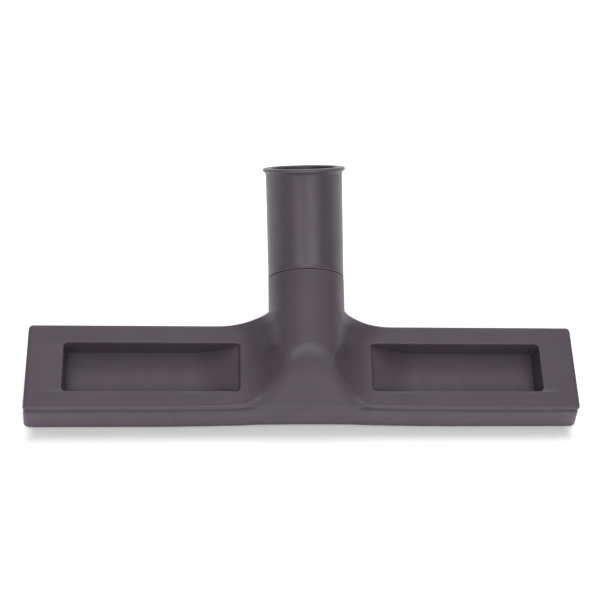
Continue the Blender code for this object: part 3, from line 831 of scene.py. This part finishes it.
def openness(tree, reach, inside):
    """1 on a flat face. Lower on a sharp edge when it looks inside the solid, or else in a hollow."""
    made = node(tree, "ShaderNodeAmbientOcclusion", Distance=reach)
    made.inside = inside
    made.samples = OCCLUSION_SAMPLES
    return made.outputs["AO"]


def toned(colour, factor):
    """A colour made lighter or darker, with its alpha."""
    return [c * factor for c in colour] + [1]


def painted(tree, share, under, colour):
    """Lays a colour over another by a share. A colour mix has its colours at sockets 6 and 7."""
    made = tree.nodes.new("ShaderNodeMix")
    made.data_type = "RGBA"
    made.inputs[7].default_value = colour
    tree.links.new(share, made.inputs[0])
    tree.links.new(under, made.inputs[6])
    return made.outputs[2]


def painted_low_wall_light(tree, place):
    """Share of painted light on a low wall: a little along its length, and most at the head's corners."""
    low = spread(tree, axes(tree, place)["Z"], LOW_WALL_LIGHT_TOP, LOW_WALL_LIGHT_FULL)
    side = maths(tree, "ABSOLUTE", axes(tree, place)["X"])
    start = HEAD_WIDTH / 2 - LOW_WALL_LIGHT_CORNER_START
    end = HEAD_WIDTH / 2 - LOW_WALL_LIGHT_CORNER_END
    corner = spread(tree, side, start, end, LOW_WALL_LIGHT_SIDE, LOW_WALL_LIGHT_CORNER)
    patches = spread(tree, noise(tree, place, LOW_WALL_LIGHT_SCALE, 5.0, 0.65), 0.38, 0.62, 0.45)
    return maths(tree, "MULTIPLY", maths(tree, "MULTIPLY", low, corner), patches)


def plastic(name, colour, roughness, grain, wear_and_highlight, hollow_shade):
    """Moulded plastic: a fine skin, faint blotches, edges lighter from wear and a painted highlight,
    painted light on low walls, and painted shade in the hollows.
    """
    material = bpy.data.materials.new(name)
    material.use_nodes = True
    tree = material.node_tree
    link = tree.links.new
    shader = tree.nodes["Principled BSDF"]
    place = tree.nodes.new("ShaderNodeTexCoord").outputs["Object"]

    tone = tree.nodes.new("ShaderNodeValToRGB")
    dark, light = tone.color_ramp.elements
    dark.position = BLOTCH_DARKEST
    dark.color = toned(colour, 1 - BLOTCH_CHANGE)
    light.position = BLOTCH_LIGHTEST
    light.color = toned(colour, 1 + BLOTCH_CHANGE)
    link(noise(tree, place, BLOTCH_SCALE, 4.0, 0.6), tone.inputs["Fac"])

    # Edges lighter: partly wear, partly a painted highlight on rounded edges such as the lip.
    edges = spread(tree, openness(tree, WEAR_AND_HIGHLIGHT_REACH, True), WEAR_AND_HIGHLIGHT_STARTS, WEAR_AND_HIGHLIGHT_FULL, 0.0, wear_and_highlight)
    # Painted light on low walls joins the lighter edges.
    wear_and_light_share = maths(tree, "MAXIMUM", edges, painted_low_wall_light(tree, place))
    lightened = painted(tree, wear_and_light_share, tone.outputs["Color"], toned(colour, WEAR_AND_LIGHT_TONE))

    # Painted shade: hollows, creases and the groove under the lip drawn darker, most of it in front.
    hollows = spread(tree, openness(tree, HOLLOW_SHADE_REACH, False), HOLLOW_SHADE_STARTS, HOLLOW_SHADE_FULL, 0.0, hollow_shade)
    forward = spread(tree, axes(tree, place)["Y"], HOLLOW_SHADE_BACK_Y, HOLLOW_SHADE_FRONT_Y, HOLLOW_SHADE_BACK_SHARE)
    shade_share = maths(tree, "MULTIPLY", hollows, forward)
    link(painted(tree, shade_share, lightened, toned(colour, HOLLOW_SHADE_TONE)), shader.inputs["Base Color"])

    smears = noise(tree, place, SMEAR_SCALE, 3.0, 0.5)
    rough = spread(tree, smears, 0.3, 0.7, roughness - SMEAR_CHANGE, roughness + SMEAR_CHANGE)
    link(rough, shader.inputs["Roughness"])

    bump = node(tree, "ShaderNodeBump", Strength=grain, Distance=GRAIN_HEIGHT)
    link(noise(tree, place, GRAIN_SCALE, 2.0, 0.6), bump.inputs["Height"])
    link(bump.outputs["Normal"], shader.inputs["Normal"])
    return material


def give(obj, slot, colour, finish, body, replaced):
    """Paints a piece and hands it over to the frame."""
    obj.data.materials.clear()
    obj.data.materials.append(plastic(slot, colour, *finish))
    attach(obj, body)
    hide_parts(replaced)


give(build_head(), "moulded_grey", HEAD_GREY, HEAD_FINISH, "head", "floor_head")
give(build_sleeve(), "sleeve_grey", SLEEVE_GREY, SLEEVE_FINISH, "sleeve", "wand_sleeve")
for side, centre_y, notched in (("front", FRONT_BLADE_Y, True), ("rear", 0.0, False)):
    wiper = build_blade(side + "_wiper", centre_y, notched)
    give(wiper, side + "_rubber", RUBBER_BLACK, RUBBER_FINISH, "head", side + "_blade")


# Floor, light and camera


def pale_floor():
    """White floor that glows a little for the camera, less in a painted shadow just in front of the head.
    """
    mesh = bpy.data.meshes.new("studio_floor")
    near = -FLOOR_REACH
    far = FLOOR_REACH
    corners = [(near, near, 0), (far, near, 0), (far, far, 0), (near, far, 0)]
    mesh.from_pydata(corners, [], [(0, 1, 2, 3)])
    floor = bpy.data.objects.new("studio_floor", mesh)
    bpy.context.scene.collection.objects.link(floor)
    floor.location.z = -FLOOR_DROP
    material = bpy.data.materials.new("studio_white")
    material.use_nodes = True
    tree = material.node_tree
    tree.nodes.clear()
    rays = tree.nodes.new("ShaderNodeLightPath").outputs
    seen = maths(tree, "MAXIMUM", rays["Is Camera Ray"], rays["Is Glossy Ray"])
    seen = maths(tree, "MAXIMUM", seen, rays["Is Transmission Ray"])
    along = axes(tree, tree.nodes.new("ShaderNodeTexCoord").outputs["Object"])
    # Painted shadow: the glow is held back in a band in front of the head, not beside or behind it.
    side = maths(tree, "ABSOLUTE", along["X"])
    start = HEAD_WIDTH / 2 - SHADOW_SIDE_START
    end = HEAD_WIDTH / 2 + SHADOW_SIDE_END
    beside = spread(tree, side, start, end, kind="SMOOTHSTEP")
    ahead = spread(tree, along["Y"], LIP_Y - SHADOW_START, LIP_Y - SHADOW_END, kind="SMOOTHSTEP")
    behind = spread(tree, along["Y"], 0.0, BLADE_TO_BACK)
    outside_painted_shadow = maths(tree, "MAXIMUM", maths(tree, "MAXIMUM", ahead, beside), behind)
    level = maths(tree, "MULTIPLY", outside_painted_shadow, FLOOR_GLOW)
    glow = node(tree, "ShaderNodeEmission", Color=(1, 1, 1, 1))
    tree.links.new(maths(tree, "MULTIPLY", seen, level), glow.inputs["Strength"])
    matt = node(tree, "ShaderNodeBsdfDiffuse", Color=(FLOOR_WHITE, FLOOR_WHITE, FLOOR_WHITE, 1))
    total = tree.nodes.new("ShaderNodeAddShader")
    tree.links.new(matt.outputs[0], total.inputs[0])
    tree.links.new(glow.outputs[0], total.inputs[1])
    out = tree.nodes.new("ShaderNodeOutputMaterial")
    tree.links.new(total.outputs[0], out.inputs["Surface"])
    mesh.materials.append(material)


def soft_world():
    """Dim sky that is darker at the horizon and lights the head, and white where the camera sees it."""
    world = bpy.data.worlds.new("studio")
    bpy.context.scene.world = world
    world.use_nodes = True
    tree = world.node_tree
    tree.nodes.clear()
    height = axes(tree, tree.nodes.new("ShaderNodeTexCoord").outputs["Generated"])["Z"]
    lit = node(tree, "ShaderNodeBackground", Color=(1, 1, 1, 1))
    tree.links.new(spread(tree, height, 0.0, 0.9, SKY_AT_HORIZON, SKY_ABOVE), lit.inputs["Strength"])
    shown = node(tree, "ShaderNodeBackground", Color=(1, 1, 1, 1), Strength=1.0)
    rays = tree.nodes.new("ShaderNodeLightPath").outputs
    mix = tree.nodes.new("ShaderNodeMixShader")
    tree.links.new(rays["Is Camera Ray"], mix.inputs[0])
    tree.links.new(lit.outputs[0], mix.inputs[1])
    tree.links.new(shown.outputs[0], mix.inputs[2])
    out = tree.nodes.new("ShaderNodeOutputWorld")
    tree.links.new(mix.outputs[0], out.inputs["Surface"])


def softbox(name, azimuth, elevation, width, height, power):
    """Soft rectangle of light aimed at the object."""
    light = bpy.data.lights.new(name, "AREA")
    light.shape = "RECTANGLE"
    light.size = width
    light.size_y = height
    light.energy = power
    obj = bpy.data.objects.new(name, light)
    bpy.context.scene.collection.objects.link(obj)
    a = math.radians(azimuth)
    e = math.radians(elevation)
    direction = Vector((math.sin(a) * math.cos(e), -math.cos(a) * math.cos(e), math.sin(e)))
    obj.location = Vector(LIGHT_TARGET) + direction * LIGHT_DISTANCE
    obj.rotation_mode = "QUATERNION"
    obj.rotation_quaternion = direction.to_track_quat("Z", "Y")


def photo_camera():
    """Camera that stands where the photo was taken from."""
    data = bpy.data.cameras.new("camera")
    data.lens = CAMERA_LENS
    data.sensor_width = 36.0
    data.clip_start = 0.05
    data.clip_end = 20.0
    camera = bpy.data.objects.new("camera", data)
    bpy.context.scene.collection.objects.link(camera)
    camera.location = CAMERA_PLACE
    camera.rotation_euler = [math.radians(turn) for turn in CAMERA_TURN]
    bpy.context.scene.camera = camera


pale_floor()
soft_world()
for name, settings in SOFTBOXES.items():
    softbox(name, *settings)
photo_camera()
bpy.context.scene.view_settings.view_transform = "Standard"
